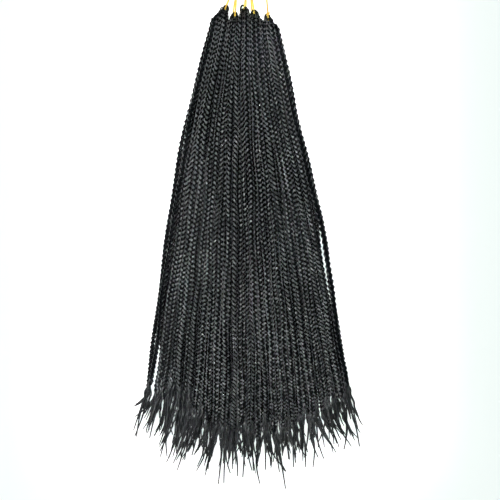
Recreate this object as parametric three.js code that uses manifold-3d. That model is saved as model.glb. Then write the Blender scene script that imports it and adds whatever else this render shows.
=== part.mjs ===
// A hank of crochet box braids, as it hangs from a hook: five bunches of
// pre-looped three-strand braids, each bunch threaded on its own elastic band.
// Millimetres, +Z up. The front faces -Y. The origin is where the bands rest on
// the top of the hook, which runs along X.
import * as THREE from 'three';
import { mergeVertices } from 'three/addons/utils/BufferGeometryUtils.js';
import Module from 'manifold-3d';

const wasm = await Module();
wasm.setup();

// Hair
const braidsInBunch = 18;
const hairLength = 446; // from the loops to the tips
const braidWidth = 6.0;
const braidThickness = 4.8;
const braidGap = 0.55; // air between neighbouring braids
const gatherWidth = 75; // across all the bunches, where the braids first lie side by side
const fanWidth = 212; // across the ends of the plaits

// Elastic bands
const bandDiameter = 1.6;
const bandClearance = 0.4; // between a band and the loops that hang on it
const bandLength = 30; // from the hook's top down to the middle of the loops
const hookDiameter = 10;
const loopSpan = 19; // how much of a band, from front to back, the loops of a bunch fill

// Gathered loops at the top of each bunch
const knotHeight = 6;
const archThickness = 2.6; // hair above the band where a loop passes over it

// Each bunch from left to right. Shares of gatherWidth: where its band crosses the
// hook, where its knot hangs, and how wide the knot is. Share of bandLength: how much
// lower than the others the knot hangs. Degrees: how far the band twists on its way down.
const bunches = [
  { name: 'left', hook: -0.161, knot: -0.295, width: 0.123, lower: -0.16, twist: 3 },
  { name: 'midleft', hook: -0.118, knot: -0.167, width: 0.106, lower: 0.06, twist: 10 },
  { name: 'middle', hook: 0.014, knot: -0.019, width: 0.109, lower: -0.16, twist: -4 },
  { name: 'midright', hook: 0.055, knot: 0.1, width: 0.11, lower: -0.02, twist: 7 },
  { name: 'right', hook: 0.26, knot: 0.303, width: 0.118, lower: 0.12, twist: -2 },
];

// The fan of braids from the gather down to the tips. down is a share of hairLength,
// spread goes from 0 at gatherWidth to 1 at fanWidth, lean is how far the middle is to
// one side as a share of fanWidth, and girth is a share of the braid's own size.
const fan = [
  { down: 0.025, spread: -0.025, lean: -0.009, girth: 0.84 },
  { down: 0.205, spread: 0.265, lean: -0.017, girth: 1.0 },
  { down: 0.48, spread: 0.633, lean: -0.003, girth: 0.97 },
  { down: 0.85, spread: 0.99, lean: 0.009, girth: 0.86 },
  { down: 0.935, spread: 1.05, lean: 0.008, girth: 0.55 },
  { down: 1.0, spread: 1.165, lean: 0.01, girth: 0.14 },
];
const plaitEnd = 3; // the row of the fan where the plait stops and the loose tail begins

// How long the loose tails are at places across the hank, -1 at its left and 1 at its
// right, as shares of the tails in the middle
const tailLine = [
  { side: -1, length: 0.36 },
  { side: -0.85, length: 0.56 },
  { side: -0.68, length: 0.98 },
  { side: -0.5, length: 1.02 },
  { side: 0, length: 1.0 },
  { side: 0.5, length: 0.9 },
  { side: 0.7, length: 0.7 },
  { side: 1, length: 0.7 },
];

// How the braids lie and differ from each other
const nesting = 0.94; // how close the rows of the gather lie, as a share of a braid's thickness
const neck = 0.6; // a braid's girth where it leaves its knot
// Where a braid bends over: shares of its way down and out from the knot to the gather, and its girth there
const shoulder = { down: 0.4, out: 0.72, girth: 0.72 };
const wander = 0.12; // sideways, as a share of braidWidth
const evenness = 0.92; // how evenly the braids are spaced where the fan is widest
const tailStray = 0.9; // sideways at the tips, as a share of braidWidth, for the middle of a bunch
const unevenEnds = 0.17; // how much the tails differ in length
const flatten = 0.74; // how much of its depth the fan keeps from one row to the next

// How finely the round forms are faceted
const braidSides = 6;
const knotSides = 10;
const bandSides = 5;
const bandSteps = 22;

const golden = (Math.sqrt(5) - 1) / 2;
const braidCount = bunches.length * braidsInBunch;
const layPasses = 160; // how often layDepths goes over a row

const hairBlack = new THREE.MeshStandardMaterial({ color: 0x17171a, roughness: 0.45, metalness: 0 });
const elasticYellow = new THREE.MeshStandardMaterial({ color: 0xe8b52c, roughness: 0.5, metalness: 0 });

// A number from -1 to 1 that differs between neighbouring braids
function vary(index, stride) {
  const value = index * stride;
  return 2 * (value - Math.floor(value)) - 1;
}

// Moves the braids of one row forward or back until no two share the same space
function layDepths(xs, ys, width, thickness) {
  for (let pass = 0; pass < layPasses; pass++) {
    for (let i = 0; i < xs.length; i++) {
      for (let j = i + 1; j < xs.length; j++) {
        const across = (xs[j] - xs[i]) / width;
        if (Math.abs(across) >= 1) continue;
        const need = thickness * Math.sqrt(1 - across * across);
        const apart = ys[j] - ys[i];
        if (Math.abs(apart) >= need) continue;
        const push = ((need - Math.abs(apart)) / 2) * (apart < 0 ? -1 : 1);
        ys[i] -= push;
        ys[j] += push;
      }
    }
  }
}

// The braids' places at the gather: the ones nearest the middle of an oval, in rows
// whose starts are shifted so that no two braids lie exactly behind each other
function plantBraids() {
  const pitchX = braidWidth + braidGap;
  const pitchY = (braidThickness + braidGap) * nesting;
  const halfWidth = gatherWidth / 2 - braidWidth / 2;
  const halfDepth = (braidCount * pitchX * pitchY) / (Math.PI * halfWidth);
  const rows = Math.ceil(halfDepth / pitchY) + 1;
  const columns = Math.ceil(halfWidth / pitchX) + 1;
  const places = [];
  for (let row = -rows; row <= rows; row++) {
    const shift = vary(row, golden) / 2;
    for (let column = -columns; column <= columns; column++) {
      const x = (column + shift) * pitchX;
      const y = row * pitchY;
      places.push({ x, y, far: Math.hypot(x / halfWidth, y / halfDepth) });
    }
  }
  places.sort((a, b) => a.far - b.far);
  return places.slice(0, braidCount).sort((a, b) => a.x - b.x);
}

// The height, from the hook, of a share of the hair's length
function heightAt(down) {
  return -bandLength - down * hairLength;
}

// How long the tails are at one place across the hank
function tailAt(side) {
  const right = Math.max(1, tailLine.findIndex((mark) => mark.side >= side));
  const from = tailLine[right - 1];
  const to = tailLine[right];
  return THREE.MathUtils.mapLinear(side, from.side, to.side, from.length, to.length);
}

// Every braid's line from the gather to its tip: a list of points for each row of the fan
function layBraids() {
  const planted = plantBraids();
  const reach = Math.max(...planted.map((place) => Math.abs(place.x)));
  const evenly = planted.map((place, k) => (2 * k) / (braidCount - 1) - 1);
  let depths = planted.map((place) => place.y * fan[0].girth);
  return fan.map((row, index) => {
    const loose = Math.max(0, index - plaitEnd) / (fan.length - 1 - plaitEnd);
    const settled = Math.min(1, index / plaitEnd);
    const width = gatherWidth + row.spread * (fanWidth - gatherWidth) - row.girth * braidWidth;
    const xs = planted.map((place, k) => {
      const side = THREE.MathUtils.lerp(place.x / reach, evenly[k], evenness * settled);
      const inBunch = ((k % braidsInBunch) + 0.5) / braidsInBunch;
      const inner = 4 * inBunch * (1 - inBunch); // 0 at the bunch's edges, 1 in its middle
      const uneven = settled * wander * vary(k + index, Math.SQRT2);
      const stray = loose * tailStray * inner * vary(k, golden);
      return row.lean * fanWidth + (side * width) / 2 + (uneven + stray) * braidWidth;
    });
    if (index > 0) depths = depths.map((depth) => depth * flatten);
    layDepths(xs, depths, (braidWidth + braidGap) * row.girth, (braidThickness + braidGap) * row.girth);
    const end = fan[plaitEnd].down;
    return planted.map((place, k) => {
      const tail = tailAt(evenly[k]) + unevenEnds * vary(k, Math.sqrt(3));
      const down = row.down > end ? end + (row.down - end) * tail : row.down;
      return new THREE.Vector3(xs[k], depths[k], heightAt(down));
    });
  });
}

// A closed rope through the stations, each an oval of its own width and thickness
function rope(stations, sides) {
  const geometry = new THREE.CylinderGeometry(1, 1, 1, sides, stations.length - 1, false, Math.PI / sides);
  const position = geometry.attributes.position;
  for (let i = 0; i < position.count; i++) {
    const station = stations[Math.round((0.5 - position.getY(i)) * (stations.length - 1))];
    position.setXYZ(
      i,
      station.at.x + (position.getX(i) * station.width) / 2,
      station.at.y - (position.getZ(i) * station.thickness) / 2,
      station.at.z,
    );
  }
  return geometry;
}

function solidOf(geometry) {
  const bare = geometry.clone();
  bare.deleteAttribute('normal');
  bare.deleteAttribute('uv');
  const merged = mergeVertices(bare);
  return new wasm.Manifold(
    new wasm.Mesh({
      numProp: 3,
      vertProperties: merged.attributes.position.array,
      triVerts: new Uint32Array(merged.index.array),
    }),
  );
}

function geometryOf(solid) {
  const { numProp, vertProperties, triVerts } = solid.getMesh();
  const geometry = new THREE.BufferGeometry();
  const buffer = new THREE.InterleavedBuffer(vertProperties, numProp);
  geometry.setAttribute('position', new THREE.InterleavedBufferAttribute(buffer, 3, 0));
  geometry.setIndex(new THREE.BufferAttribute(triVerts, 1));
  return geometry.toNonIndexed();
}

// Where a bunch's band lies on the hook and under its loops
function bandEnds(bunch) {
  return {
    top: new THREE.Vector3(bunch.hook * gatherWidth, 0, bandDiameter / 2),
    bottom: new THREE.Vector3(bunch.knot * gatherWidth, 0, -bandLength * (1 + bunch.lower)),
  };
}

// The closed line of a band: over the hook, down both sides, and under the loops
function bandLine(bunch) {
  const { top, bottom } = bandEnds(bunch);
  const overHook = (hookDiameter + bandDiameter) / 2;
  const underLoops = loopSpan / 2;
  const height = top.z - bottom.z;
  const half = [
    { depth: 0, up: 1 },
    { depth: 0.75 * overHook, up: 1 - (0.35 * overHook) / height },
    { depth: overHook, up: 1 - (1.15 * overHook) / height },
    { depth: 0.97 * underLoops, up: 0.32 },
    { depth: 0.8 * underLoops, up: 0.1 },
    { depth: 0.36 * underLoops, up: 0 },
  ];
  const place = ({ depth, up }, side) => {
    const point = bottom.clone().lerp(top, up);
    const turn = (1 - up) * THREE.MathUtils.degToRad(bunch.twist);
    point.x -= side * depth * Math.sin(turn);
    point.y += side * depth * Math.cos(turn);
    return point;
  };
  const front = half.map((point) => place(point, -1));
  const back = half.slice(1).reverse().map((point) => place(point, 1));
  return new THREE.CatmullRomCurve3([...front, ...back], true);
}

function bandGeometry(bunch, diameter) {
  return new THREE.TubeGeometry(bandLine(bunch), bandSteps, diameter / 2, bandSides, true);
}

// The gathered loops of a bunch: a flat bell around the lower end of its band
function knotStations(bunch) {
  const { bottom } = bandEnds(bunch);
  const crown = bottom.z + bandDiameter / 2 + archThickness;
  const rows = [
    { down: 0, width: 0.5, depth: 0.62 },
    { down: 0.16, width: 0.88, depth: 0.95 },
    { down: 0.5, width: 0.96, depth: 1.2 },
    { down: 1, width: 0.55, depth: 1.3 },
  ];
  return rows.map((row) => ({
    at: new THREE.Vector3(bottom.x, 0, crown - row.down * knotHeight),
    width: row.width * bunch.width * gatherWidth,
    thickness: row.depth * (loopSpan + 2 * archThickness),
  }));
}

// One bunch: its knot and braids fused, with a tunnel for its band
function bunchGeometry(bunch, lines) {
  const knot = knotStations(bunch);
  const root = knot[knot.length - 2];
  const gather = new THREE.Box3().setFromPoints(lines.map((line) => line[0]));
  const middle = gather.getCenter(new THREE.Vector3());
  const size = gather.getSize(new THREE.Vector3());
  const rootShare = { width: 0.3, thickness: 0.72 }; // how much of the knot the braids start from
  let solid = solidOf(rope(knot, knotSides));
  for (const line of lines) {
    const start = new THREE.Vector3(
      root.at.x + ((line[0].x - middle.x) / size.x) * root.width * rootShare.width,
      ((line[0].y - middle.y) / size.y) * root.thickness * rootShare.thickness,
      root.at.z,
    );
    const bend = start.clone().lerp(line[0], shoulder.out);
    bend.z = THREE.MathUtils.lerp(start.z, line[0].z, shoulder.down);
    const girths = [neck, shoulder.girth, ...fan.map((row) => row.girth)];
    const stations = [start, bend, ...line].map((at, index) => ({
      at,
      width: girths[index] * braidWidth,
      thickness: girths[index] * braidThickness,
    }));
    solid = solid.add(solidOf(rope(stations, braidSides)));
  }
  return geometryOf(solid.subtract(solidOf(bandGeometry(bunch, bandDiameter + 2 * bandClearance))));
}

const hank = new THREE.Group();
const rows = layBraids();

bunches.forEach((bunch, number) => {
  const first = number * braidsInBunch;
  const lines = [];
  for (let k = first; k < first + braidsInBunch; k++) lines.push(rows.map((row) => row[k]));

  const braids = new THREE.Mesh(bunchGeometry(bunch, lines), hairBlack);
  braids.name = `bunch_${bunch.name}`;
  const band = new THREE.Mesh(bandGeometry(bunch, bandDiameter), elasticYellow);
  band.name = `band_${bunch.name}`;
  hank.add(braids, band);
});

export default hank;
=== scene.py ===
# Crochet box braids hanging in bunches: plaits, crochet loops, loose ends and elastic bands
import math
import random
import bmesh
import bpy
import numpy as np
from mathutils import Euler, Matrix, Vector


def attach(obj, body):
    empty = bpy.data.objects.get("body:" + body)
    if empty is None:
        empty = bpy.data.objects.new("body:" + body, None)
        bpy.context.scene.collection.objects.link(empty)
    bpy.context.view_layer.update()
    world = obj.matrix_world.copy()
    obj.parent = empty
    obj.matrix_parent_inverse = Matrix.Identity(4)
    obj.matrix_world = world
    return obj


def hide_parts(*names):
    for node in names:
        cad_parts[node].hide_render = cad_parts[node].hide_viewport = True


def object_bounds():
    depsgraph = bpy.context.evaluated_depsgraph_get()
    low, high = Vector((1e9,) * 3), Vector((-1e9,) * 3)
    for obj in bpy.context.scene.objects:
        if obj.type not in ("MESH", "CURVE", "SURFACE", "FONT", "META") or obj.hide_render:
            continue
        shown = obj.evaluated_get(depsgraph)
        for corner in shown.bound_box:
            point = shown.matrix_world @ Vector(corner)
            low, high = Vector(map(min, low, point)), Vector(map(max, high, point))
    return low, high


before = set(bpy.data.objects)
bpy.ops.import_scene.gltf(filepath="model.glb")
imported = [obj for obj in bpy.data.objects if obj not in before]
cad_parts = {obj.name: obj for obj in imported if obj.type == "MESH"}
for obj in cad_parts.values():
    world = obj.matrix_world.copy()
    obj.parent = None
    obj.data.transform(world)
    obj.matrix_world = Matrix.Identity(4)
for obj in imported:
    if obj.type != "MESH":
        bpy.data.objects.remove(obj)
cadLow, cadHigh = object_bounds()
print("frame loaded with", len(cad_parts), "nodes")

# How the hank hangs, in metres, as the solids of the frame do
hank = {
    "braidsInBunch": 18,
    "hairLength": 0.446,
    "braidWidth": 0.006,
    "braidThickness": 0.0048,
    "braidGap": 0.00055,
    "gatherWidth": 0.075,
    "fanWidth": 0.212,
    "nesting": 0.94,
    "wander": 0.12,
    "tailStray": 0.9,
    "unevenEnds": 0.17,
    "flatten": 0.74,
    "evenness": 0.92,
    "layPasses": 160,
}
# down is a share of hairLength, spread runs from gatherWidth to fanWidth,
# lean is a share of fanWidth and girth a share of a braid's size
fan = [
    {"down": 0.025, "spread": -0.025, "lean": -0.009, "girth": 0.84},
    {"down": 0.205, "spread": 0.265, "lean": -0.017, "girth": 1.0},
    {"down": 0.48, "spread": 0.633, "lean": -0.003, "girth": 0.97},
    {"down": 0.85, "spread": 0.99, "lean": 0.009, "girth": 0.86},
    {"down": 0.935, "spread": 1.05, "lean": 0.008, "girth": 0.55},
    {"down": 1.0, "spread": 1.165, "lean": 0.01, "girth": 0.14},
]
plaitRow = 3  # the last row of the fan that is plaited
# from the left side, -1, to the right side, 1: how far down the loose tails go, as shares of
# the way from the last plaited row to the last row of the fan
tailLine = {
    "side": [-1, -0.85, -0.68, -0.5, 0, 0.5, 0.7, 1],
    "length": [0.36, 0.56, 0.98, 1.02, 1.0, 0.9, 0.7, 0.7],
}
# hook and knot are places across the hank as shares of gatherWidth, lower is a share of the
# band's length, twist is in degrees, head is how far the loops of a bunch reach to either
# side and headShift how far they lie off its middle, in metres
bunches = [
    {"name": "left", "hook": -0.161, "knot": -0.295, "lower": -0.16, "twist": 3,
     "head": 0.0046, "headShift": -0.0016},
    {"name": "midleft", "hook": -0.118, "knot": -0.167, "lower": 0.06, "twist": 10,
     "head": 0.0032, "headShift": 0},
    {"name": "middle", "hook": 0.014, "knot": -0.019, "lower": -0.16, "twist": -4,
     "head": 0.0036, "headShift": 0},
    {"name": "midright", "hook": 0.055, "knot": 0.1, "lower": -0.02, "twist": 7,
     "head": 0.0052, "headShift": 0.0022},
    {"name": "right", "hook": 0.26, "knot": 0.303, "lower": 0.12, "twist": -2,
     "head": 0.0038, "headShift": 0},
]
golden = (math.sqrt(5) - 1) / 2


def vary(index, stride):
    # an even spread of values from -1 to 1, the same each time
    value = index * stride
    return 2 * (value - math.floor(value)) - 1


# Curves and tubes

def smoothPath(points, perSpan, closed=False):
    # a centripetal curve through the points, with perSpan samples between two of them
    points = np.array(points, dtype=float)
    if closed:
        ring = np.vstack([points[-1:], points, points[:2]])
    else:
        ring = np.vstack([2 * points[0] - points[1], points, 2 * points[-1] - points[-2]])
    step = np.sqrt(np.linalg.norm(np.diff(ring, axis=0), axis=1))[:, None]
    share = np.linspace(0, 1, perSpan, endpoint=False)[:, None]
    spans = []
    for i in range(1, len(ring) - 2):
        before, here, after, beyond = ring[i - 1:i + 3]
        t0, t1, t2 = step[i - 1], step[i], step[i + 1]
        leave = ((here - before) / t0 - (after - before) / (t0 + t1) + (after - here) / t1) * t1
        arrive = ((after - here) / t1 - (beyond - here) / (t1 + t2) + (beyond - after) / t2) * t1
        cubic = 2 * here - 2 * after + leave + arrive
        square = -3 * here + 3 * after - 2 * leave - arrive
        spans.append(here + share * (leave + share * (square + share * cubic)))
    if not closed:
        spans.append(points[-1:])
    return np.vstack(spans)


def lengthAlong(line):
    return np.concatenate([[0], np.cumsum(np.linalg.norm(np.diff(line, axis=0), axis=1))])


def pointsAt(line, lengths, wanted):
    # the points of a line at the wanted lengths, straight on past its end
    inside = np.minimum(wanted, lengths[-1])
    found = np.stack([np.interp(inside, lengths, line[:, axis]) for axis in range(3)], axis=-1)
    heading = line[-1] - line[-4]
    heading = heading / np.linalg.norm(heading)
    return found + np.maximum(wanted - lengths[-1], 0)[..., None] * heading


def unit(vectors):
    return vectors / np.maximum(np.linalg.norm(vectors, axis=-1, keepdims=True), 1e-12)


def wrapRings(line, halfWidth, halfDepth, facing, sides, closed=False):
    # rings of points round a line; facing is the way that the tube's depth points
    if closed:
        along = unit(np.roll(line, -1, axis=0) - np.roll(line, 1, axis=0))
    else:
        along = unit(np.gradient(line, axis=-2))
    out = unit(facing - np.sum(facing * along, axis=-1, keepdims=True) * along)
    across = np.cross(out, along)
    angle = 2 * math.pi * np.arange(sides) / sides
    wide = (halfWidth[..., None] * np.cos(angle))[..., None]
    deep = (halfDepth[..., None] * np.sin(angle))[..., None]
    return line[..., None, :] + wide * across[..., None, :] + deep * out[..., None, :]


def tubeTemplate(rings, sides, closed=False):
    # a straight tube, and which ring and side each of its vertices belongs to
    bm = bmesh.new()
    bmesh.ops.create_cone(bm, cap_ends=not closed, segments=sides, radius1=1, radius2=1, depth=1)
    uprights = [e for e in bm.edges if abs(e.verts[0].co.z - e.verts[1].co.z) > 0.5]
    bmesh.ops.subdivide_edges(bm, edges=uprights, cuts=rings - 2, use_grid_fill=True)
    if closed:
        ends = [e for e in bm.edges if all(abs(abs(v.co.z) - 0.5) < 1e-6 for v in e.verts)]
        bmesh.ops.bridge_loops(bm, edges=ends)
    mesh = bpy.data.meshes.new("tubeTemplate")
    bm.to_mesh(mesh)
    bm.free()
    at = np.empty(len(mesh.vertices) * 3)
    mesh.vertices.foreach_get("co", at)
    at = at.reshape(-1, 3)
    ring = np.round((at[:, 2] + 0.5) * (rings - 1)).astype(int)
    turn = np.mod(np.arctan2(at[:, 1], at[:, 0]), 2 * math.pi) / (2 * math.pi)
    side = np.floor(turn * sides + 0.25).astype(int) % sides
    return {"mesh": mesh, "ring": ring, "side": side}


def joinTubes(pieceName, groups, material):
    # one object from groups of like tubes, each group a template, its rings, their flow, how
    # loose the hair is and how far it stands out from the creases
    bm = bmesh.new()
    places, flows, looses, crests = [], [], [], []
    for template, rings, flow, loose, crest in groups:
        for copy in range(len(rings)):
            bm.from_mesh(template["mesh"])
        spot = (slice(None), template["ring"], template["side"])
        places.append(rings[spot].reshape(-1, 3))
        flows.append(flow[spot].reshape(-1, 3))
        looses.append(np.broadcast_to(loose, rings.shape[:3])[spot].ravel())
        crests.append(np.broadcast_to(crest, rings.shape[:3])[spot].ravel())
    mesh = bpy.data.meshes.new(pieceName)
    bm.to_mesh(mesh)
    bm.free()
    mesh.vertices.foreach_set("co", np.vstack(places).ravel())
    attribute = mesh.attributes.new("hairFlow", "FLOAT_VECTOR", "POINT")
    attribute.data.foreach_set("vector", np.vstack(flows).ravel())
    for name, values in (("looseness", looses), ("crest", crests)):
        attribute = mesh.attributes.new(name, "FLOAT", "POINT")
        attribute.data.foreach_set("value", np.concatenate(values))
    mesh.shade_smooth()
    mesh.materials.append(material)
    mesh.update()
    piece = bpy.data.objects.new(pieceName, mesh)
    bpy.context.scene.collection.objects.link(piece)
    return piece


def flowOf(rings, halfWidth, halfDepth, lengths, offsets):
    # where each point lies in its own straight strand, so that fibres follow the strand
    count, ringCount, sides = rings.shape[:3]
    angle = 2 * math.pi * np.arange(sides) / sides
    flow = np.empty((count, ringCount, sides, 3))
    flow[..., 0] = halfWidth[..., None] * np.cos(angle) + offsets[:, None, None]
    flow[..., 1] = halfDepth[..., None] * np.sin(angle)
    flow[..., 2] = lengths[..., None] + fibre["apartAlong"] * offsets[:, None, None]
    return flow


# Materials

def valueNode(nodes, kind, **settings):
    node = nodes.new(kind)
    for name, value in settings.items():
        setattr(node, name, value)
    return node


def rangeNode(nodes, fromLow, fromHigh, toLow, toHigh, **settings):
    node = valueNode(nodes, "ShaderNodeMapRange", **settings)
    node.inputs["From Min"].default_value = fromLow
    node.inputs["From Max"].default_value = fromHigh
    node.inputs["To Min"].default_value = toLow
    node.inputs["To Max"].default_value = toHigh
    return node


def rampNode(nodes, first, firstColour, last, lastColour):
    ramp = nodes.new("ShaderNodeValToRGB")
    ends = ramp.color_ramp.elements
    ends[0].position, ends[0].color = first, firstColour
    ends[1].position, ends[1].color = last, lastColour
    return ramp


fibre = {
    "fineDetail": 3,
    "fineRoughness": 0.6,
    "broadDetail": 1,
    "broadScale": 0.17,  # of the fine streaks' scale
    "fineShare": 0.4,
    "broadShare": 0.6,
    "apart": 0.5,  # how far apart two strands may lie in the streaks
    "apartAlong": 3,  # how many times that far along the strand
}


def makeFibreGroup():
    # long thin streaks that run with the strand: a tone from 0 to 1 and a height
    group = bpy.data.node_groups.new("fibreStreaks", "ShaderNodeTree")
    group.interface.new_socket("Flow", in_out="INPUT", socket_type="NodeSocketVector")
    group.interface.new_socket("Fineness", in_out="INPUT", socket_type="NodeSocketFloat")
    group.interface.new_socket("Stretch", in_out="INPUT", socket_type="NodeSocketFloat")
    group.interface.new_socket("Tone", in_out="OUTPUT", socket_type="NodeSocketFloat")
    group.interface.new_socket("Height", in_out="OUTPUT", socket_type="NodeSocketFloat")
    nodes, links = group.nodes, group.links
    source = nodes.new("NodeGroupInput")
    result = nodes.new("NodeGroupOutput")
    squeeze = nodes.new("ShaderNodeCombineXYZ")
    squeeze.inputs["X"].default_value = 1
    squeeze.inputs["Y"].default_value = 1
    scaled = valueNode(nodes, "ShaderNodeVectorMath", operation="MULTIPLY")
    fine = nodes.new("ShaderNodeTexNoise")
    fine.inputs["Detail"].default_value = fibre["fineDetail"]
    fine.inputs["Roughness"].default_value = fibre["fineRoughness"]
    broad = nodes.new("ShaderNodeTexNoise")
    broad.inputs["Detail"].default_value = fibre["broadDetail"]
    wider = valueNode(nodes, "ShaderNodeMath", operation="MULTIPLY")
    wider.inputs[1].default_value = fibre["broadScale"]
    both = valueNode(nodes, "ShaderNodeMath", operation="MULTIPLY_ADD")
    both.inputs[1].default_value = fibre["fineShare"]
    less = valueNode(nodes, "ShaderNodeMath", operation="MULTIPLY")
    less.inputs[1].default_value = fibre["broadShare"]
    links.new(source.outputs["Stretch"], squeeze.inputs["Z"])
    links.new(source.outputs["Flow"], scaled.inputs[0])
    links.new(squeeze.outputs[0], scaled.inputs[1])
    links.new(scaled.outputs[0], fine.inputs["Vector"])
    links.new(scaled.outputs[0], broad.inputs["Vector"])
    links.new(source.outputs["Fineness"], fine.inputs["Scale"])
    links.new(source.outputs["Fineness"], wider.inputs[0])
    links.new(wider.outputs[0], broad.inputs["Scale"])
    links.new(broad.outputs["Fac"], less.inputs[0])
    links.new(fine.outputs["Fac"], both.inputs[0])
    links.new(less.outputs[0], both.inputs[2])
    links.new(both.outputs[0], result.inputs["Tone"])
    links.new(fine.outputs["Fac"], result.inputs["Height"])
    return group


fibreGroup = makeFibreGroup()

hairFinish = {
    "dark": (0.0002, 0.0003, 0.0004, 1),
    "light": (0.0009, 0.0011, 0.0014, 1),
    "darkUpTo": 0.32,  # of the streaks' tone
    "lightFrom": 0.68,
    "roughLow": 0.265,
    "roughHigh": 0.35,
    "roughUpTo": 0.3,
    "smoothFrom": 0.7,
    "roughLoose": 0.34,
    # painted shade in the creases: the sheen falls to its crease value where a point stands
    # little out from its braid
    "creaseShadeFrom": 0.8,
    "creaseShadeTo": 1.02,
    "sheen": 1.0,
    "sheenInPaintedCreaseShade": 0.008,
    "sheenLoose": 0.2,
    # painted shade at the rims: the sheen is dimmed where a strand turns away from the camera, so
    # the strands' outlines stay dark
    "sheenInPaintedRimShade": 0.1,
    "rimShadeFrom": 0.5,
    "rimShadeTo": 0.95,
    "streak": 0.22,  # how much of the sheen the dull streaks keep
    "dullUpTo": 0.35,
    "brightFrom": 0.6,
    "tint": (0.93, 0.98, 1, 1),
    "fineness": 5200,
    "stretch": 0.03,
    "bump": 0.22,
    "fibreDepth": 0.00012,
}


def makeHairMaterial():
    material = bpy.data.materials.new("blackHair")
    material.use_nodes = True
    nodes, links = material.node_tree.nodes, material.node_tree.links
    shader = nodes["Principled BSDF"]
    flow = valueNode(nodes, "ShaderNodeAttribute", attribute_name="hairFlow")
    streaks = valueNode(nodes, "ShaderNodeGroup", node_tree=fibreGroup)
    streaks.inputs["Fineness"].default_value = hairFinish["fineness"]
    streaks.inputs["Stretch"].default_value = hairFinish["stretch"]
    colour = rampNode(nodes, hairFinish["darkUpTo"], hairFinish["dark"],
                      hairFinish["lightFrom"], hairFinish["light"])
    rough = rangeNode(nodes, hairFinish["roughUpTo"], hairFinish["smoothFrom"],
                      hairFinish["roughHigh"], hairFinish["roughLow"])
    loose = valueNode(nodes, "ShaderNodeAttribute", attribute_name="looseness")
    rougher = valueNode(nodes, "ShaderNodeMix", data_type="FLOAT")
    rougher.inputs["B"].default_value = hairFinish["roughLoose"]
    # painted shade: the crest dims the sheen in the creases between strands
    crest = valueNode(nodes, "ShaderNodeAttribute", attribute_name="crest")
    paintedCreaseShade = rangeNode(nodes, hairFinish["creaseShadeFrom"], hairFinish["creaseShadeTo"],
                       hairFinish["sheenInPaintedCreaseShade"], hairFinish["sheen"],
                       interpolation_type="SMOOTHSTEP")
    streaky = rangeNode(nodes, hairFinish["dullUpTo"], hairFinish["brightFrom"],
                        hairFinish["streak"], 1)
    sheen = valueNode(nodes, "ShaderNodeMath", operation="MULTIPLY")
    duller = rangeNode(nodes, 0, 1, 1, hairFinish["sheenLoose"])
    worn = valueNode(nodes, "ShaderNodeMath", operation="MULTIPLY")
    # painted shade: the sheen is dimmed at grazing angles to the camera
    rim = nodes.new("ShaderNodeLayerWeight")
    paintedRimShade = rangeNode(nodes, hairFinish["rimShadeFrom"], hairFinish["rimShadeTo"],
                       1, hairFinish["sheenInPaintedRimShade"], interpolation_type="SMOOTHSTEP")
    kept = valueNode(nodes, "ShaderNodeMath", operation="MULTIPLY")
    bump = nodes.new("ShaderNodeBump")
    bump.inputs["Strength"].default_value = hairFinish["bump"]
    bump.inputs["Distance"].default_value = hairFinish["fibreDepth"]
    links.new(flow.outputs["Vector"], streaks.inputs["Flow"])
    links.new(streaks.outputs["Tone"], colour.inputs["Fac"])
    links.new(streaks.outputs["Tone"], rough.inputs["Value"])
    links.new(streaks.outputs["Height"], bump.inputs["Height"])
    links.new(colour.outputs["Color"], shader.inputs["Base Color"])
    links.new(loose.outputs["Fac"], rougher.inputs["Factor"])
    links.new(rough.outputs["Result"], rougher.inputs["A"])
    links.new(rougher.outputs["Result"], shader.inputs["Roughness"])
    links.new(crest.outputs["Fac"], paintedCreaseShade.inputs["Value"])
    links.new(streaks.outputs["Tone"], streaky.inputs["Value"])
    links.new(paintedCreaseShade.outputs["Result"], sheen.inputs[0])
    links.new(streaky.outputs["Result"], sheen.inputs[1])
    links.new(loose.outputs["Fac"], duller.inputs["Value"])
    links.new(sheen.outputs[0], worn.inputs[0])
    links.new(duller.outputs["Result"], worn.inputs[1])
    links.new(rim.outputs["Facing"], paintedRimShade.inputs["Value"])
    links.new(worn.outputs[0], kept.inputs[0])
    links.new(paintedRimShade.outputs["Result"], kept.inputs[1])
    links.new(kept.outputs[0], shader.inputs["Specular IOR Level"])
    links.new(bump.outputs["Normal"], shader.inputs["Normal"])
    shader.inputs["Specular Tint"].default_value = hairFinish["tint"]
    return material


hairMaterial = makeHairMaterial()

elasticFinish = {
    "yellow": (0.52, 0.38, 0.02, 1),
    "amber": (0.38, 0.2, 0.005, 1),
    "amberUpTo": 0.35,
    "yellowFrom": 0.6,
    "roughness": 0.38,
    "patch": 160,
    "grain": 3000,
    "bump": 0.2,
    "grainDepth": 0.0001,
    "throughLight": 0.1,
    "throughDepth": 0.001,
}


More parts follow.
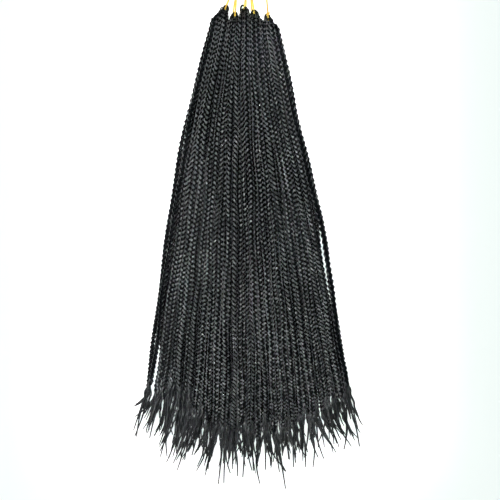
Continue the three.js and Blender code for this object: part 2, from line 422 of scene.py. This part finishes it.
def makeElasticMaterial():
    material = bpy.data.materials.new("yellowElastic")
    material.use_nodes = True
    nodes, links = material.node_tree.nodes, material.node_tree.links
    shader = nodes["Principled BSDF"]
    place = nodes.new("ShaderNodeTexCoord")
    patches = nodes.new("ShaderNodeTexNoise")
    patches.inputs["Scale"].default_value = elasticFinish["patch"]
    colour = rampNode(nodes, elasticFinish["amberUpTo"], elasticFinish["amber"],
                      elasticFinish["yellowFrom"], elasticFinish["yellow"])
    grain = nodes.new("ShaderNodeTexNoise")
    grain.inputs["Scale"].default_value = elasticFinish["grain"]
    bump = nodes.new("ShaderNodeBump")
    bump.inputs["Strength"].default_value = elasticFinish["bump"]
    bump.inputs["Distance"].default_value = elasticFinish["grainDepth"]
    links.new(place.outputs["Object"], patches.inputs["Vector"])
    links.new(place.outputs["Object"], grain.inputs["Vector"])
    links.new(patches.outputs["Fac"], colour.inputs["Fac"])
    links.new(grain.outputs["Fac"], bump.inputs["Height"])
    links.new(colour.outputs["Color"], shader.inputs["Base Color"])
    links.new(bump.outputs["Normal"], shader.inputs["Normal"])
    shader.inputs["Roughness"].default_value = elasticFinish["roughness"]
    shader.inputs["Subsurface Weight"].default_value = elasticFinish["throughLight"]
    shader.inputs["Subsurface Scale"].default_value = elasticFinish["throughDepth"]
    return material


elasticMaterial = makeElasticMaterial()
print("materials made")


# Where every braid lies, worked out as the frame's own solids are

def layDepths(xs, ys, width, thickness):
    # moves the braids of one row forward or back until no two share the same space
    near = []
    for i in range(len(xs)):
        for j in range(i + 1, len(xs)):
            across = (xs[j] - xs[i]) / width
            if abs(across) < 1:
                near.append((i, j, thickness * math.sqrt(1 - across * across)))
    for turn in range(hank["layPasses"]):
        for i, j, need in near:
            apart = ys[j] - ys[i]
            if abs(apart) < need:
                push = (need - abs(apart)) / 2 * (-1 if apart < 0 else 1)
                ys[i] -= push
                ys[j] += push


def plantBraids():
    pitchX = hank["braidWidth"] + hank["braidGap"]
    pitchY = (hank["braidThickness"] + hank["braidGap"]) * hank["nesting"]
    count = len(bunches) * hank["braidsInBunch"]
    halfWidth = hank["gatherWidth"] / 2 - hank["braidWidth"] / 2
    halfDepth = count * pitchX * pitchY / (math.pi * halfWidth)
    rows = math.ceil(halfDepth / pitchY) + 1
    columns = math.ceil(halfWidth / pitchX) + 1
    places = []
    for row in range(-rows, rows + 1):
        shift = vary(row, golden) / 2
        for column in range(-columns, columns + 1):
            x, y = (column + shift) * pitchX, row * pitchY
            places.append((math.hypot(x / halfWidth, y / halfDepth), x, y))
    places.sort()
    return sorted((x, y) for far, x, y in places[:count])


def layBraids():
    # every braid's points, one for each row of the fan
    planted = plantBraids()
    reach = max(abs(x) for x, y in planted)
    depths = [y * fan[0]["girth"] for x, y in planted]
    end = fan[plaitRow]["down"]
    rows = []
    for index, row in enumerate(fan):
        loose = max(0, index - plaitRow) / (len(fan) - 1 - plaitRow)
        settled = min(1, index / plaitRow)
        width = hank["gatherWidth"] + row["spread"] * (hank["fanWidth"] - hank["gatherWidth"])
        width -= row["girth"] * hank["braidWidth"]
        xs = []
        for k, (x, y) in enumerate(planted):
            inBunch = (k % hank["braidsInBunch"] + 0.5) / hank["braidsInBunch"]
            inner = 4 * inBunch * (1 - inBunch)  # 1 in the middle of a bunch, 0 at its sides
            even = 2 * k / (len(planted) - 1) - 1
            side = x / reach + (even - x / reach) * hank["evenness"] * settled
            uneven = settled * hank["wander"] * vary(k + index, math.sqrt(2))
            stray = loose * hank["tailStray"] * inner * vary(k, golden)
            middle = row["lean"] * hank["fanWidth"] + side * width / 2
            xs.append(middle + (uneven + stray) * hank["braidWidth"])
        if index > 0:
            depths = [depth * hank["flatten"] for depth in depths]
        gap = hank["braidGap"]
        layDepths(xs, depths, (hank["braidWidth"] + gap) * row["girth"],
                  (hank["braidThickness"] + gap) * row["girth"])
        points = []
        for k, (x, y) in enumerate(planted):
            even = 2 * k / (len(planted) - 1) - 1
            ends = float(np.interp(even, tailLine["side"], tailLine["length"]))
            ends += hank["unevenEnds"] * vary(k, math.sqrt(3))
            down = end + (row["down"] - end) * ends if row["down"] > end else row["down"]
            points.append((xs[k], depths[k], -band["length"] - down * hank["hairLength"]))
        rows.append(points)
    return np.array(rows).transpose(1, 0, 2)


# Elastic bands

band = {
    "length": 0.03,
    "diameter": 0.0016,
    "hook": 0.01,
    "loopSpan": 0.019,
    "seat": 0.0035,  # how far up from its lower end the crochet loops hang
    "perSpan": 24,
    "rings": 120,
    "sides": 12,
    "unevenness": 0.06,
    "waves": 3,  # round the loop, and as many finer kinds of them
    "finerWaves": 0.6,  # how high each finer kind is beside the one before
    "wavePhase": 6,
}


def bandPath(bunch):
    top = np.array([bunch["hook"] * hank["gatherWidth"], 0, band["diameter"] / 2])
    lowest = -band["length"] * (1 + bunch["lower"])
    bottom = np.array([bunch["knot"] * hank["gatherWidth"], 0, lowest])
    over = (band["hook"] + band["diameter"]) / 2
    under = band["loopSpan"] / 2
    height = top[2] - bottom[2]
    # how far out and how far up, from the hook to the lower end
    half = [
        (0, 1),
        (0.75 * over, 1 - 0.35 * over / height),
        (over, 1 - 1.15 * over / height),
        (0.97 * under, 0.32),
        (0.8 * under, 0.1),
        (0.36 * under, 0),
    ]
    points = []
    for side, run in ((-1, half), (1, half[:0:-1])):
        for depth, up in run:
            turn = (1 - up) * math.radians(bunch["twist"])
            point = bottom + (top - bottom) * up
            point[0] -= side * depth * math.sin(turn)
            point[1] += side * depth * math.cos(turn)
            points.append(point)
    return smoothPath(points, band["perSpan"], closed=True)


def makeBand(bunch):
    path = bandPath(bunch)
    ring = np.vstack([path, path[:1]])
    lengths = lengthAlong(ring)
    along = np.linspace(0, lengths[-1], band["rings"], endpoint=False)
    line = np.stack([np.interp(along, lengths, ring[:, axis]) for axis in range(3)], axis=-1)
    chance = random.Random("band " + bunch["name"])
    swell = 0
    for n in range(band["waves"]):
        turn = (n + 1) * 2 * math.pi * along / lengths[-1] * band["waves"]
        turn = turn + chance.uniform(0, band["wavePhase"])
        swell = swell + math.pow(band["finerWaves"], n) * np.sin(turn)
    radius = band["diameter"] / 2 * (1 + band["unevenness"] * swell)
    facing = np.array([1.0, 0, 0])
    rings = wrapRings(line, radius, radius, facing, band["sides"], closed=True)[None]
    template = tubeTemplate(band["rings"], band["sides"], closed=True)
    flow = flowOf(rings, radius[None], radius[None], along[None], np.zeros(1))
    return joinTubes("elastic_" + bunch["name"], [(template, rings, flow, 0, 1)], elasticMaterial)


bandKnot = {
    "on": "right",
    "height": -0.0278,
    "size": 0.00042,
    "depth": 1.3,  # of its size
    "radius": 0.0006,
    "rings": 64,
    "sides": 8,
    "endLength": 0.0026,
    "endRadius": 0.00045,
    "endRings": 6,
    "endWays": ((0.7, -0.5, 0.5), (-0.6, -0.4, -0.7)),
}


def makeBandKnot(bunch):
    # an overhand knot with two short ends, on the front side of a band
    path = bandPath(bunch)
    front = path[path[:, 1] < 0]
    spot = front[np.argmin(np.abs(front[:, 2] - bandKnot["height"]))]
    turn = np.linspace(0, 2 * math.pi, bandKnot["rings"], endpoint=False)
    size, sides, facing = bandKnot["size"], bandKnot["sides"], np.array([0.0, 1.0, 0])
    line = spot + size * np.stack([np.sin(turn) + 2 * np.sin(2 * turn),
                                   -bandKnot["depth"] * np.sin(3 * turn),
                                   np.cos(turn) - 2 * np.cos(2 * turn)], axis=-1)
    radius = np.full(bandKnot["rings"], bandKnot["radius"])
    rings = wrapRings(line, radius, radius, facing, sides, closed=True)
    template = tubeTemplate(bandKnot["rings"], sides, closed=True)
    run = lengthAlong(line)[None]
    flow = flowOf(rings[None], radius[None], radius[None], run, np.zeros(1))
    groups = [(template, rings[None], flow, 0, 1)]
    share = np.linspace(0, 1, bandKnot["endRings"])
    ends = np.array([spot + share[:, None] * np.array(way) * bandKnot["endLength"]
                     for way in bandKnot["endWays"]])
    thin = np.full((2, bandKnot["endRings"]), bandKnot["endRadius"])
    endRings = wrapRings(ends, thin, thin, facing, sides)
    endTemplate = tubeTemplate(bandKnot["endRings"], sides)
    runs = share * bandKnot["endLength"] * np.ones((2, 1))
    groups.append((endTemplate, endRings, flowOf(endRings, thin, thin, runs, np.zeros(2)), 0, 1))
    return joinTubes("knot_" + bunch["name"], groups, elasticMaterial)


# Plaits and their loose ends

# the tables that end in At run from the left side of the hank, -1, to its right side, 1
plait = {
    "sides": 6,
    "rings": 246,
    "tailRings": 26,
    "perSpan": 44,
    "pitch": 0.0138,  # length in which a strand comes back to the same edge
    "pitchKept": (0.45, 0.55),  # how much of it stays, and how much follows the girth
    "swing": 0.00174,  # how far a strand goes to either side
    "lift": 0.00135,  # how far it goes to the front and back
    "strandWidth": 0.00134,
    "strandDepth": 0.00112,
    "lobe": 0.3,  # how much a strand swells where it lies on top
    "girths": (0.55, 0.76, 0.88, 1.0, 1.0, 0.9),  # at the head, the shoulder, then each row
    "startBelowBand": 0.0035,
    "startUneven": (0.7, 1.2),
    "shoulderDown": 0.4,
    "shoulderOut": 0.72,
    "plaitedAt": (-1, -0.8, -0.6, -0.4, 0, 0.4, 0.6, 0.8, 1),
    "plaited": (-0.55, -0.3, -0.08, 0.2, 0.42, 0.3, 0.16, -0.04, -0.3),  # of the last rows
    "endUneven": 0.14,
    "finerDown": (0, 0.35, 0.6, 0.85),  # shares of a braid's length
    "finer": (1.07, 1.04, 0.97, 0.86),  # of the pitch, at those
    "waves": ((0.07, 0.12), (0.16, 0.26)),  # the shortest and longest of two kinds of sway
    "wave": 0.0006,
    "waveDepth": 0.8,  # of the sway to the side
    "wavesFrom": 0.08,  # length in which the sway sets in
    "unevenSize": 0.05,
    "unevenPitch": 0.08,
    "facings": (6, 2, 3),  # how often a braid shows its front, its back or another side
    "facingAside": 2,
    "facingUneven": 0.45,
    "drift": 0.7,  # how far it turns on its way down, and how far to and fro
    "wander": 0.5,
    "wanderLength": 0.31,
    "outerFrom": 0.93,  # the outermost braids hang straighter, with bumpier edges
    "outerWander": 0.2,
    "outerLobe": -0.9,
    "outerThinner": 0.82,
    "outerPitch": 1.25,
}
tail = {
    "loosens": 0.012,
    "heldAfter": 0.65,
    "radius": 0.00108,
    "tipRadius": 0.0007,
    "tipFrom": 1.02,  # where a tip would end in a point, just past the end of the hair
    "tipPointed": 0.15,
    "taper": 1.15,
    "shortest": 0.55,
    "longest": 1.04,
    "split": 0.0042,
    "splits": (0.1, 0.18, 0.35, 0.8),  # of split, one for each braid
    "splitDepth": 0.6,
    "bend": 0.0013,
    "sweep": 0.0036,
    "sweepDepth": 0.5,
    "sweepUpTo": 1.3,
    "fullSweep": 0.036,
    "curl": 0.22,  # of the sweep
    "outwardAt": (-1, -0.85, -0.65, -0.4, -0.1, 0.3, 0.7, 1),
    "outward": (0, -0.005, -0.01, -0.008, -0.001, 0.001, 0.003, 0.006),
}


def anyWay(chance, depth):
    # a random way to go, with depth as the share of it from front to back
    return np.array([chance.gauss(0, 1), chance.gauss(0, depth), 0])


def loopPlaces(bunch):
    # the even places along the bottom of a band where the crochet loops hang, front to back
    path = bandPath(bunch)
    low = path[path[:, 2] < -band["length"] * (1 + bunch["lower"]) + band["seat"]]
    low = low[np.argsort(low[:, 1])]
    lengths = lengthAlong(low)
    even = np.linspace(0, lengths[-1], hank["braidsInBunch"])
    return np.stack([np.interp(even, lengths, low[:, axis]) for axis in range(3)], axis=-1)


# braids that give way to the side by shift, to open a gap or to close one, round a height
# and as far from it as reach; they are numbered from left to right
partings = [
    {"braids": (1, 2), "height": -0.395, "reach": 0.045, "shift": -0.0011},
    {"braids": (3,), "height": -0.384, "reach": 0.035, "shift": 0.0032},
    {"braids": (4,), "height": -0.384, "reach": 0.035, "shift": 0.0018},
    {"braids": (3,), "height": -0.335, "reach": 0.04, "shift": 0.0014},
    {"braids": (4, 5), "height": -0.335, "reach": 0.04, "shift": -0.0012},
    {"braids": (89,), "height": -0.303, "reach": 0.075, "shift": -0.0024},
    {"braids": (7, 13, 28, 41), "height": -0.438, "reach": 0.032, "shift": 0.0012},
    {"braids": (8, 14, 43, 48), "height": -0.438, "reach": 0.032, "shift": -0.0012},
    {"braids": (26, 46), "height": -0.438, "reach": 0.032, "shift": 0.0018},
    {"braids": (29,), "height": -0.438, "reach": 0.032, "shift": -0.0018},
    {"braids": (8, 61), "height": -0.376, "reach": 0.045, "shift": 0.0008},
    {"braids": (62, 63), "height": -0.379, "reach": 0.045, "shift": -0.0007},
    {"braids": (88,), "height": -0.268, "reach": 0.045, "shift": 0.0013},
    {"braids": (87,), "height": -0.282, "reach": 0.053, "shift": -0.0046},
    {"braids": (86,), "height": -0.296, "reach": 0.042, "shift": -0.0026},
]


def braidRoute(points, start, number, chance):
    # a braid's middle line, how long it is up to each of its points, and how long up to its
    # start, its shoulder and each row of the fan
    shoulder = start + (points[0] - start) * plait["shoulderOut"]
    shoulder[2] = start[2] + (points[0][2] - start[2]) * plait["shoulderDown"]
    line = smoothPath([start, shoulder, *points], plait["perSpan"])
    lengths = lengthAlong(line)
    knots = lengths[::plait["perSpan"]]
    drop = np.clip((lengths - knots[2]) / plait["wavesFrom"], 0, 1)
    for axis, share in ((0, 1), (1, plait["waveDepth"])):
        for wavelength in [chance.uniform(*kind) for kind in plait["waves"]]:
            phase = chance.uniform(0, 2 * math.pi)
            sway = np.sin(2 * math.pi * lengths / wavelength + phase)
            line[:, axis] += drop * share * plait["wave"] * sway
    for parting in partings:
        if number in parting["braids"]:
            near = np.clip(1 - ((line[:, 2] - parting["height"]) / parting["reach"]) ** 2, 0, 1)
            line[:, 0] += parting["shift"] * near
    return line, lengthAlong(line), knots


def plaitStrands(line, lengths, knots, side, chance):
    # the middle lines of a braid's three strands, with how wide and deep each is along them
    last = knots[plaitRow + 2]
    stretch = lengths[-1] - last
    plaited = np.interp(side, plait["plaitedAt"], plait["plaited"])
    end = last + stretch * (plaited + plait["endUneven"] * chance.uniform(-1, 1))
    size = 1 + plait["unevenSize"] * chance.uniform(-1, 1)
    pitch = plait["pitch"] * (1 + plait["unevenPitch"] * chance.uniform(-1, 1))
    aside = chance.uniform(-plait["facingAside"], plait["facingAside"])
    facing = chance.choices((0, math.pi, aside), weights=plait["facings"])[0]
    facing += chance.uniform(-plait["facingUneven"], plait["facingUneven"])
    drift = chance.uniform(-plait["drift"], plait["drift"])
    wander, lobe, thinner = plait["wander"], plait["lobe"], 1
    if abs(side) > plait["outerFrom"]:
        facing, drift, wander = 0, 0, plait["outerWander"]
        lobe, thinner = plait["outerLobe"], plait["outerThinner"]
        pitch *= plait["outerPitch"]
    phase = chance.uniform(0, 2 * math.pi)
    apart = tail["split"] * chance.choice(tail["splits"])
    sweep = anyWay(chance, tail["sweepDepth"]) * tail["sweep"]
    sweep[0] += np.interp(side, tail["outwardAt"], tail["outward"])
    curl = anyWay(chance, tail["sweepDepth"]) * tail["sweep"] * tail["curl"]
    knotsAt = [*knots[:plaitRow + 3], lengths[-1]]
    girths = [*plait["girths"], plait["girths"][-1]]
    share = np.arange(1, plait["tailRings"] + 1) / plait["tailRings"]
    strands = []
    for strand in range(3):
        reach = (lengths[-1] - end) * chance.uniform(tail["shortest"], tail["longest"])
        run = np.concatenate([np.linspace(0, end, plait["rings"]), end + reach * share])
        loose = np.concatenate([np.zeros(plait["rings"]), share])
        girth = np.interp(run, knotsAt, girths) * size
        hold = 1 - np.clip((run - end) / tail["loosens"], 0, 1)
        hold = hold * hold * (3 - 2 * hold)
        hold = tail["heldAfter"] * (1 - loose) + (1 - tail["heldAfter"] * (1 - loose)) * hold
        place = pointsAt(line, lengths, run)
        along = unit(np.gradient(place, axis=0))
        across = unit(np.array([1.0, 0, 0]) - along[:, :1] * along)
        front = np.cross(along, across)
        sway = np.sin(2 * math.pi * run / plait["wanderLength"] + phase)
        turn = facing + drift * run / lengths[-1] + wander * sway
        sideways = across * np.cos(turn)[:, None] + front * np.sin(turn)[:, None]
        outward = front * np.cos(turn)[:, None] - across * np.sin(turn)[:, None]
        finer = np.interp(run / lengths[-1], plait["finerDown"], plait["finer"])
        kept, follows = plait["pitchKept"]
        steps = np.diff(run, prepend=0) / (pitch * finer * (kept + follows * girth))
        angle = 2 * math.pi * (np.cumsum(steps) + strand / 3) + phase
        swing = plait["swing"] * girth * hold * np.sin(angle)
        lift = -plait["lift"] * girth * hold * np.sin(2 * angle)
        centre = place
        place = place + swing[:, None] * sideways + lift[:, None] * outward
        away = anyWay(chance, tail["splitDepth"]) * apart
        bend = anyWay(chance, tail["sweepDepth"]) * tail["bend"]
        place += (loose ** 2)[:, None] * away + np.sin(math.pi * loose)[:, None] * bend
        below = np.clip((run - end) / (lengths[-1] - end), 0, tail["sweepUpTo"])
        below *= min(1, (lengths[-1] - end) / tail["fullSweep"])
        place += (below ** 2)[:, None] * sweep + np.sin(2 * math.pi * below)[:, None] * curl
        thin = tail["radius"] * (1 - loose) ** tail["taper"]
        thin += tail["tipRadius"] * (tail["tipFrom"] - loose) ** tail["tipPointed"]
        half = girth[:, None] * (plait["swing"] + plait["strandWidth"] * thinner,
                                 plait["lift"] + plait["strandDepth"] * thinner)
        girth = girth * thinner * (1 + lobe * hold * (np.abs(np.sin(2 * angle)) - 0.5))
        grip = 1 - np.clip((run - end) / tail["loosens"], 0, 1)
        wide = grip * plait["strandWidth"] * girth + (1 - grip) * thin
        deep = grip * plait["strandDepth"] * girth + (1 - grip) * thin
        strands.append((place, wide, deep, outward, run, 1 - grip, centre, sideways, half))
    return strands


def crestOf(rings, outs, looses, centres, sideways, halves):
    # how far each point stands out from the middle of its braid, 1 at the outside of the plait;
    # the hair material paints shade on the sheen where this is low
    away = rings - centres[:, :, None]
    wide = np.sum(away * sideways[:, :, None], axis=-1) / halves[..., :1]
    deep = np.sum(away * outs[:, :, None], axis=-1) / halves[..., 1:]
    standing = np.hypot(wide, deep)
    return standing + (1 - standing) * looses[..., None]


def makeBraids(bunch, number, allPoints, template):
    first = number * hank["braidsInBunch"]
    points = allPoints[first:first + hank["braidsInBunch"]]
    places = loopPlaces(bunch)
    order = np.argsort(np.argsort(points[:, 0, 1]))  # the rank of each braid from front to back
    middle = points[:, 0, 0].mean()
    span = np.ptp(points[:, 0, 0])
    chance = random.Random("braids " + bunch["name"])
    strands, starts = [], []
    for k in range(hank["braidsInBunch"]):
        start = places[order[k]].copy()
        start[0] += (points[k, 0, 0] - middle) / span * 2 * bunch["head"] + bunch["headShift"]
        start[2] -= plait["startBelowBand"] * chance.uniform(*plait["startUneven"])
        starts.append(start)
        line, lengths, knots = braidRoute(points[k], start, first + k, chance)
        side = 2 * (first + k) / (len(allPoints) - 1) - 1
        strands.extend(plaitStrands(line, lengths, knots, side, chance))
    lines, wides, deeps, outs, runs, looses, *rest = (np.array(part) for part in zip(*strands))
    rings = wrapRings(lines, wides, deeps, outs, plait["sides"])
    # the crests drive painted shade in the material, which dims the sheen in the creases
    crests = crestOf(rings, outs, looses, *rest)
    offsets = np.array([chance.uniform(0, fibre["apart"]) for strand in strands])
    flow = flowOf(rings, wides, deeps, runs, offsets)
    wisps = makeWisps(lines, chance)
    groups = [(template, rings, flow, looses[..., None], crests), wisps]
    piece = joinTubes("braids_" + bunch["name"], groups, hairMaterial)
    return piece, np.array(starts)


wisp = {
    "sides": 4,
    "rings": 10,
    "each": 1,  # for every braid
    "radius": 0.0007,
    "tipRadius": 0.0005,
    "shortest": 0.016,
    "longest": 0.026,
    "leavesFrom": (2, 8),  # rings of the loose end, from its start and its tip
    "headingRings": 4,
    "away": 0.0045,
    "depth": 0.6,  # of away, from front to back
    "curl": 0.35,  # of away
    "droop": 0.012,
}


def makeWisps(lines, chance):
    # thin wisps that come away from the loose ends
    template = tubeTemplate(wisp["rings"], wisp["sides"])
    share = np.linspace(0, 1, wisp["rings"])
    early, late = wisp["leavesFrom"]
    paths, radii, runs = [], [], []
    for first in range(0, len(lines), 3):
        for each in range(wisp["each"]):
            line = lines[first + chance.randrange(3)]
            leave = plait["rings"] + chance.randrange(early, plait["tailRings"] - late)
            heading = unit(line[leave + wisp["headingRings"]] - line[leave])
            length = chance.uniform(wisp["shortest"], wisp["longest"])
            away = anyWay(chance, wisp["depth"]) * wisp["away"]
            curl = anyWay(chance, wisp["depth"]) * wisp["away"] * wisp["curl"]
            path = line[leave] + (share * length)[:, None] * heading
            away[2] -= wisp["droop"]
            path += (share ** 2)[:, None] * away + np.sin(math.pi * share)[:, None] * curl
            paths.append(path)
            radii.append(wisp["radius"] * (1 - share) + wisp["tipRadius"])
            runs.append(share * length)
    paths, radii, runs = np.array(paths), np.array(radii), np.array(runs)
    rings = wrapRings(paths, radii, radii, np.array([0.0, -1.0, 0]), wisp["sides"])
    flow = flowOf(rings, radii, radii, runs, np.linspace(0, fibre["apart"], len(paths)))
    return template, rings, flow, 1, 1


# Crochet loops over the bands

loop = {
    "sides": 7,
    "rings": 26,
    "perSpan": 12,
    "halfWidth": 0.0019,
    "widthUneven": (0.85, 1.15),
    "rise": 0.0017,
    "riseUneven": (0.85, 1.5),
    "shoulder": (0.7, 0.6),  # how far out and up, as shares of its half width and rise
    "sideDown": 0.0016,
    "hairWidth": 0.00105,
    "hairDepth": 0.0008,
    "hairUneven": (0.85, 1.1),
    "taper": (0.55, 0.45),  # the thickness at the ends, and what the middle has more
    "legStart": 0.45,  # of its half width
    "legEnd": 0.0035,
    "legsApart": 0.0003,
    "lean": 0.5,
    "slant": 0.0006,
    "frontThicker": 1.6,
}


def makeLoops(bunch, starts, template):
    places = loopPlaces(bunch)
    order = np.argsort(np.argsort(starts[:, 1]))
    chance = random.Random("loops " + bunch["name"])
    shoulderOut, shoulderUp = loop["shoulder"]
    atEnds, more = loop["taper"]
    taper = atEnds + more * np.sqrt(np.sin(math.pi * np.linspace(0, 1, loop["rings"])))
    lines, wides, deeps = [], [], []
    for k, start in enumerate(starts):
        seat = places[order[k]]
        high = loop["rise"] * chance.uniform(*loop["riseUneven"])
        half = loop["halfWidth"] * chance.uniform(*loop["widthUneven"])
        lean = (start[0] - seat[0]) * loop["lean"]
        slant = chance.uniform(-loop["slant"], loop["slant"])
        below = start - np.array([0, 0, loop["legEnd"]])
        points = [
            below - np.array([loop["legsApart"], 0, 0]),
            start + np.array([-loop["legStart"] * half, 0, 0]),
            seat + np.array([-half + lean, -slant, -loop["sideDown"]]),
            seat + np.array([-shoulderOut * half + lean, -slant, shoulderUp * high]),
            seat + np.array([lean, 0, high]),
            seat + np.array([shoulderOut * half + lean, slant, shoulderUp * high]),
            seat + np.array([half + lean, slant, -loop["sideDown"]]),
            start + np.array([loop["legStart"] * half, 0, 0]),
            below + np.array([loop["legsApart"], 0, 0]),
        ]
        path = smoothPath(points, loop["perSpan"])
        lengths = lengthAlong(path)
        line = pointsAt(path, lengths, np.linspace(0, lengths[-1], loop["rings"]))
        lines.append(line)
        thick = loop["frontThicker"] if order[k] == 0 else 1
        wides.append(loop["hairWidth"] * thick * taper * chance.uniform(*loop["hairUneven"]))
        deeps.append(loop["hairDepth"] * thick * taper)
    lines, wides, deeps = np.array(lines), np.array(wides), np.array(deeps)
    rings = wrapRings(lines, deeps, wides, np.array([0.0, 1.0, 0]), loop["sides"])
    runs = np.array([lengthAlong(line) for line in lines])
    offsets = np.array([chance.uniform(0, fibre["apart"]) for line in lines])
    flow = flowOf(rings, deeps, wides, runs, offsets)
    return joinTubes("loops_" + bunch["name"], [(template, rings, flow, 1, 1)], hairMaterial)


allPoints = layBraids()
strandTemplate = tubeTemplate(plait["rings"] + plait["tailRings"], plait["sides"])
loopTemplate = tubeTemplate(loop["rings"], loop["sides"])
for number, bunch in enumerate(bunches):
    elastic = makeBand(bunch)
    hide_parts("band_" + bunch["name"])
    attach(elastic, "root")
    if bunch["name"] == bandKnot["on"]:
        knot = makeBandKnot(bunch)
        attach(knot, "root")
    braids, starts = makeBraids(bunch, number, allPoints, strandTemplate)
    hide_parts("bunch_" + bunch["name"])
    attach(braids, "root")
    loops = makeLoops(bunch, starts, loopTemplate)
    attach(loops, "root")
    print("bunch", bunch["name"], "made with", len(braids.data.polygons), "faces")


# Camera, light and stage

studio = {
    "frameCentre": (0.004, 0, -0.263),
    "frameSize": 0.5,
    "cameraBack": 2.0,
    "cameraSees": 50,
    "floorBelow": 0.13,
    "backdropBehind": 0.05,
    "paperSize": 4,  # half of each sheet
    "paperRoughness": 0.9,
    "paperBase": (0.3, 0.3, 0.3, 1),
    "paperGlow": (0.89, 1, 0.96, 1),
    "paperStrength": 0.57,
    "worldStrength": 0.02,
    "worldColour": (0.9, 1, 0.98, 1),
    "keyPower": 47,
    "keySize": 0.6,
    "keyPlace": (-0.48, -1.95, 0.08),
    "fillPower": 1,
    "fillSize": 1.0,
    "fillPlace": (0.9, -1.7, -0.1),
    "stripPower": 2.3,
    "stripSize": 0.3,
    "stripHeight": 0.6,
    "stripPlace": (-0.05, -1.95, -0.1),
    "stripAim": (-0.008, 0, -0.19),
    "stripBeam": 7,
}


def aimAt(thing, target):
    heading = Vector(target) - thing.location
    thing.rotation_euler = heading.to_track_quat("-Z", "Y").to_euler()


def makeCamera():
    data = bpy.data.cameras.new("camera")
    camera = bpy.data.objects.new("camera", data)
    bpy.context.scene.collection.objects.link(camera)
    x, y, z = studio["frameCentre"]
    camera.location = (x, y - studio["cameraBack"], z)
    aimAt(camera, studio["frameCentre"])
    data.lens = data.sensor_width * studio["cameraBack"] / studio["frameSize"]
    data.clip_end = studio["cameraSees"]
    bpy.context.scene.camera = camera


def makeSoftbox(name, power, size, place, aim, height=None, beam=180):
    data = bpy.data.lights.new(name, "AREA")
    data.energy = power
    data.shape = "RECTANGLE"
    data.size = size
    data.size_y = height or size
    data.spread = math.radians(beam)
    lamp = bpy.data.objects.new(name, data)
    bpy.context.scene.collection.objects.link(lamp)
    lamp.location = place
    aimAt(lamp, aim)


def makePaperMaterial():
    # matt white paper that is clear from behind, so that the back can be seen
    material = bpy.data.materials.new("whitePaper")
    material.use_nodes = True
    nodes, links = material.node_tree.nodes, material.node_tree.links
    shader = nodes["Principled BSDF"]
    shader.inputs["Base Color"].default_value = studio["paperBase"]
    shader.inputs["Emission Color"].default_value = studio["paperGlow"]
    shader.inputs["Emission Strength"].default_value = studio["paperStrength"]
    shader.inputs["Roughness"].default_value = studio["paperRoughness"]
    behind = nodes.new("ShaderNodeNewGeometry")
    clear = nodes.new("ShaderNodeBsdfTransparent")
    either = nodes.new("ShaderNodeMixShader")
    links.new(behind.outputs["Backfacing"], either.inputs["Fac"])
    links.new(shader.outputs["BSDF"], either.inputs[1])
    links.new(clear.outputs["BSDF"], either.inputs[2])
    links.new(either.outputs["Shader"], nodes["Material Output"].inputs["Surface"])
    return material


def makePlane(name, size, material, turn, place):
    bm = bmesh.new()
    bmesh.ops.create_grid(bm, x_segments=1, y_segments=1, size=size)
    for vertex in bm.verts:
        vertex.co.rotate(turn)
        vertex.co += Vector(place)
    mesh = bpy.data.meshes.new(name)
    bm.to_mesh(mesh)
    bm.free()
    mesh.materials.append(material)
    plane = bpy.data.objects.new(name, mesh)
    bpy.context.scene.collection.objects.link(plane)


def makeStudio():
    paper = makePaperMaterial()
    size, floorHeight = studio["paperSize"], cadLow.z - studio["floorBelow"]
    makePlane("floor", size, paper, Euler((0, 0, 0)), (0, 0, floorHeight))
    makePlane("backdrop", size, paper, Euler((math.radians(90), 0, 0)),
              (0, studio["backdropBehind"], floorHeight + size))
    centre = studio["frameCentre"]
    makeSoftbox("key", studio["keyPower"], studio["keySize"], studio["keyPlace"], centre)
    makeSoftbox("fill", studio["fillPower"], studio["fillSize"], studio["fillPlace"], centre)
    makeSoftbox("strip", studio["stripPower"], studio["stripSize"], studio["stripPlace"],
                studio["stripAim"], studio["stripHeight"], studio["stripBeam"])
    world = bpy.data.worlds.new("studio")
    world.use_nodes = True
    background = world.node_tree.nodes["Background"]
    background.inputs["Color"].default_value = studio["worldColour"]
    background.inputs["Strength"].default_value = studio["worldStrength"]
    bpy.context.scene.world = world
    bpy.context.scene.view_settings.view_transform = "Standard"


makeCamera()
makeStudio()
print("studio ready")
